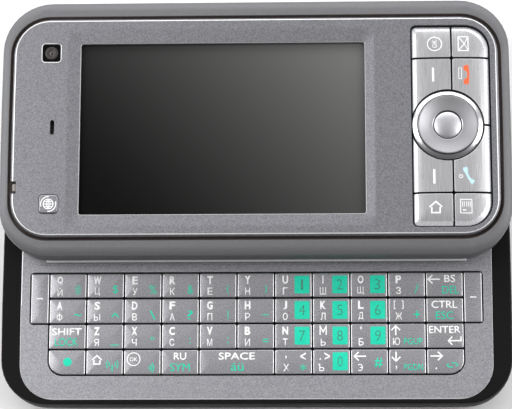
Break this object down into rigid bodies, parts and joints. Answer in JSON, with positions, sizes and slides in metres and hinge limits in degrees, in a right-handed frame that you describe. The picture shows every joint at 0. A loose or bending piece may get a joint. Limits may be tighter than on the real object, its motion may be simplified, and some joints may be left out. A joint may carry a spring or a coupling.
{
  "type": "slider phone",
  "caption": "Landscape slider phone: a display half with front keys and a tilting ring key slides up on rails to show a keyboard half with a slide-off battery cover.",
  "frame": {"origin": "centre of the keyboard half's back face, the face that the phone lies on", "axes": "+X to the right along the phone, +Y away from the keyboard, the way the display half slides open, +Z out of the display"},
  "size_m": [0.1194, 0.0944, 0.0219],
  "materials": {
    "grey_paint": "silver grey metallic paint, satin",
    "deck_paint": "light grey metallic paint, satin",
    "black_housing": "black, fine moulded texture",
    "display_glass": "gloss, dark",
    "display_panel": "black",
    "circuit_board": "green solder mask",
    "silicone": "translucent white",
    "camera_window": "gloss black",
    "inner_plastic": "black, moulded",
    "light_pipe": "dark red tint",
    "slide_steel": "satin, stamped",
    "battery_wrap": "printed wrap, plain",
    "runner_plastic": "low-friction, natural",
    "flex_film": "amber polyimide film",
    "ring_metal": "polished rim, brushed dish",
    "brushed_keys": "brushed silver",
    "keyboard_keys": "grey paint, printed legends"
  },
  "bodies": {
    "keyboard_half": {"back_shell": "black_housing", "near_screw": "slide_steel", "far_screw": "slide_steel", "rear_camera": "camera_window", "loudspeaker": "inner_plastic", "usb_socket": "slide_steel", "battery": "battery_wrap", "main_board": "circuit_board", "keyboard_board": "circuit_board", "key_mat": "silicone", "keyboard_deck": "deck_paint", "guide_rails": "runner_plastic", "flex_cable": "flex_film"},
    "display_half": {"slide_frame": "grey_paint", "face_plate": "grey_paint", "display_window": "display_glass", "display_module": "display_panel", "display_board": "circuit_board", "keypad_mat": "silicone", "front_camera": "camera_window", "earpiece": "inner_plastic", "status_light": "light_pipe", "slide_back_cover": "inner_plastic", "slide_plate": "slide_steel"},
    "battery_cover": {"battery_cover": "black_housing"},
    "ok_key": {"ok_key": "brushed_keys"},
    "mail_key": {"mail_key": "brushed_keys"},
    "soft_key_upper": {"soft_key_upper": "brushed_keys"},
    "end_key": {"end_key": "brushed_keys"},
    "soft_key_lower": {"soft_key_lower": "brushed_keys"},
    "call_key": {"call_key": "brushed_keys"},
    "start_key": {"start_key": "brushed_keys"},
    "contacts_key": {"contacts_key": "brushed_keys"},
    "nav_web": {"nav_web": "silicone"},
    "nav_ring": {"nav_ring": "ring_metal"},
    "select_key": {"select_key": "brushed_keys"},
    "web_key": {"web_key": "brushed_keys"},
    "power_key": {"power_key": "brushed_keys"},
    "volume_rocker": {"volume_rocker": "brushed_keys"},
    "camera_key": {"camera_key": "brushed_keys"},
    "q_row_keys": {"q_row_keys": "keyboard_keys"},
    "a_row_keys": {"a_row_keys": "keyboard_keys"},
    "z_row_keys": {"z_row_keys": "keyboard_keys"},
    "backspace_key": {"backspace_key": "keyboard_keys"},
    "ctrl_key": {"ctrl_key": "keyboard_keys"},
    "shift_key": {"shift_key": "keyboard_keys"},
    "up_arrow_key": {"up_arrow_key": "keyboard_keys"},
    "enter_key": {"enter_key": "keyboard_keys"},
    "function_key": {"function_key": "keyboard_keys"},
    "home_key": {"home_key": "keyboard_keys"},
    "keyboard_ok_key": {"keyboard_ok_key": "keyboard_keys"},
    "symbol_key": {"symbol_key": "keyboard_keys"},
    "space_bar": {"space_bar": "keyboard_keys"},
    "comma_key": {"comma_key": "keyboard_keys"},
    "period_key": {"period_key": "keyboard_keys"},
    "left_arrow_key": {"left_arrow_key": "keyboard_keys"},
    "down_arrow_key": {"down_arrow_key": "keyboard_keys"},
    "right_arrow_key": {"right_arrow_key": "keyboard_keys"},
    "left_soft_key": {"left_soft_key": "keyboard_keys"},
    "right_soft_key": {"right_soft_key": "keyboard_keys"}
  },
  "joints": [
    {"name": "display_slide", "type": "slide", "parent": "keyboard_half", "child": "display_half", "axis": [0, 1, 0], "range_m": [-0.0334, 0], "deforming": ["flex_cable"]},
    {"name": "battery_cover_slide", "type": "slide", "parent": "keyboard_half", "child": "battery_cover", "axis": [0, -1, 0], "range_m": [0, 0.008]},
    {"name": "ok_key_press", "type": "slide", "parent": "display_half", "child": "ok_key", "axis": [0, 0, -1], "range_m": [0, 0.0003], "stiffness_N_per_m": 4000},
    {"name": "mail_key_press", "type": "slide", "parent": "display_half", "child": "mail_key", "axis": [0, 0, -1], "range_m": [0, 0.0003], "stiffness_N_per_m": 4000},
    {"name": "soft_key_upper_press", "type": "slide", "parent": "display_half", "child": "soft_key_upper", "axis": [0, 0, -1], "range_m": [0, 0.0003], "stiffness_N_per_m": 4000},
    {"name": "end_key_press", "type": "slide", "parent": "display_half", "child": "end_key", "axis": [0, 0, -1], "range_m": [0, 0.0003], "stiffness_N_per_m": 4000},
    {"name": "soft_key_lower_press", "type": "slide", "parent": "display_half", "child": "soft_key_lower", "axis": [0, 0, -1], "range_m": [0, 0.0003], "stiffness_N_per_m": 4000},
    {"name": "call_key_press", "type": "slide", "parent": "display_half", "child": "call_key", "axis": [0, 0, -1], "range_m": [0, 0.0003], "stiffness_N_per_m": 4000},
    {"name": "start_key_press", "type": "slide", "parent": "display_half", "child": "start_key", "axis": [0, 0, -1], "range_m": [0, 0.0003], "stiffness_N_per_m": 4000},
    {"name": "contacts_key_press", "type": "slide", "parent": "display_half", "child": "contacts_key", "axis": [0, 0, -1], "range_m": [0, 0.0003], "stiffness_N_per_m": 4000},
    {"name": "nav_tilt_up_down", "type": "hinge", "parent": "display_half", "child": "nav_web", "pos_m": [0.0447, 0.03327, 0.0187], "axis": [1, 0, 0], "range_deg": [-1.5, 1.5], "stiffness_Nm_per_rad": 0.4},
    {"name": "nav_tilt_left_right", "type": "hinge", "parent": "nav_web", "child": "nav_ring", "pos_m": [0.0447, 0.03327, 0.0187], "axis": [0, 1, 0], "range_deg": [-1.5, 1.5], "stiffness_Nm_per_rad": 0.4},
    {"name": "select_key_press", "type": "slide", "parent": "display_half", "child": "select_key", "axis": [0, 0, -1], "range_m": [0, 0.0003], "stiffness_N_per_m": 4000},
    {"name": "web_key_press", "type": "slide", "parent": "display_half", "child": "web_key", "axis": [0, 0, -1], "range_m": [0, 0.0003], "stiffness_N_per_m": 4000},
    {"name": "power_key_press", "type": "slide", "parent": "keyboard_half", "child": "power_key", "axis": [1, 0, 0], "range_m": [0, 0.0003], "stiffness_N_per_m": 4000},
    {"name": "volume_rock", "type": "hinge", "parent": "keyboard_half", "child": "volume_rocker", "pos_m": [-0.028, 0.028, 0.007], "axis": [0, 0, 1], "range_deg": [-1.5, 1.5], "stiffness_Nm_per_rad": 0.35},
    {"name": "camera_key_press", "type": "slide", "parent": "keyboard_half", "child": "camera_key", "axis": [0, -1, 0], "range_m": [0, 0.0003], "stiffness_N_per_m": 4000},
    {"name": "q_row_keys_press", "type": "slide", "parent": "keyboard_half", "child": "q_row_keys", "axis": [0, 0, -1], "range_m": [0, 0.0003], "stiffness_N_per_m": 4000},
    {"name": "a_row_keys_press", "type": "slide", "parent": "keyboard_half", "child": "a_row_keys", "axis": [0, 0, -1], "range_m": [0, 0.0003], "stiffness_N_per_m": 4000},
    {"name": "z_row_keys_press", "type": "slide", "parent": "keyboard_half", "child": "z_row_keys", "axis": [0, 0, -1], "range_m": [0, 0.0003], "stiffness_N_per_m": 4000},
    {"name": "backspace_key_press", "type": "slide", "parent": "keyboard_half", "child": "backspace_key", "axis": [0, 0, -1], "range_m": [0, 0.0003], "stiffness_N_per_m": 4000},
    {"name": "ctrl_key_press", "type": "slide", "parent": "keyboard_half", "child": "ctrl_key", "axis": [0, 0, -1], "range_m": [0, 0.0003], "stiffness_N_per_m": 4000},
    {"name": "shift_key_press", "type": "slide", "parent": "keyboard_half", "child": "shift_key", "axis": [0, 0, -1], "range_m": [0, 0.0003], "stiffness_N_per_m": 4000},
    {"name": "up_arrow_key_press", "type": "slide", "parent": "keyboard_half", "child": "up_arrow_key", "axis": [0, 0, -1], "range_m": [0, 0.0003], "stiffness_N_per_m": 4000},
    {"name": "enter_key_press", "type": "slide", "parent": "keyboard_half", "child": "enter_key", "axis": [0, 0, -1], "range_m": [0, 0.0003], "stiffness_N_per_m": 4000},
    {"name": "function_key_press", "type": "slide", "parent": "keyboard_half", "child": "function_key", "axis": [0, 0, -1], "range_m": [0, 0.0003], "stiffness_N_per_m": 4000},
    {"name": "home_key_press", "type": "slide", "parent": "keyboard_half", "child": "home_key", "axis": [0, 0, -1], "range_m": [0, 0.0003], "stiffness_N_per_m": 4000},
    {"name": "keyboard_ok_key_press", "type": "slide", "parent": "keyboard_half", "child": "keyboard_ok_key", "axis": [0, 0, -1], "range_m": [0, 0.0003], "stiffness_N_per_m": 4000},
    {"name": "symbol_key_press", "type": "slide", "parent": "keyboard_half", "child": "symbol_key", "axis": [0, 0, -1], "range_m": [0, 0.0003], "stiffness_N_per_m": 4000},
    {"name": "space_bar_press", "type": "slide", "parent": "keyboard_half", "child": "space_bar", "axis": [0, 0, -1], "range_m": [0, 0.0003], "stiffness_N_per_m": 4000},
    {"name": "comma_key_press", "type": "slide", "parent": "keyboard_half", "child": "comma_key", "axis": [0, 0, -1], "range_m": [0, 0.0003], "stiffness_N_per_m": 4000},
    {"name": "period_key_press", "type": "slide", "parent": "keyboard_half", "child": "period_key", "axis": [0, 0, -1], "range_m": [0, 0.0003], "stiffness_N_per_m": 4000},
    {"name": "left_arrow_key_press", "type": "slide", "parent": "keyboard_half", "child": "left_arrow_key", "axis": [0, 0, -1], "range_m": [0, 0.0003], "stiffness_N_per_m": 4000},
    {"name": "down_arrow_key_press", "type": "slide", "parent": "keyboard_half", "child": "down_arrow_key", "axis": [0, 0, -1], "range_m": [0, 0.0003], "stiffness_N_per_m": 4000},
    {"name": "right_arrow_key_press", "type": "slide", "parent": "keyboard_half", "child": "right_arrow_key", "axis": [0, 0, -1], "range_m": [0, 0.0003], "stiffness_N_per_m": 4000},
    {"name": "left_soft_key_press", "type": "slide", "parent": "keyboard_half", "child": "left_soft_key", "axis": [0, 0, -1], "range_m": [0, 0.0003], "stiffness_N_per_m": 4000},
    {"name": "right_soft_key_press", "type": "slide", "parent": "keyboard_half", "child": "right_soft_key", "axis": [0, 0, -1], "range_m": [0, 0.0003], "stiffness_N_per_m": 4000}
  ]
}
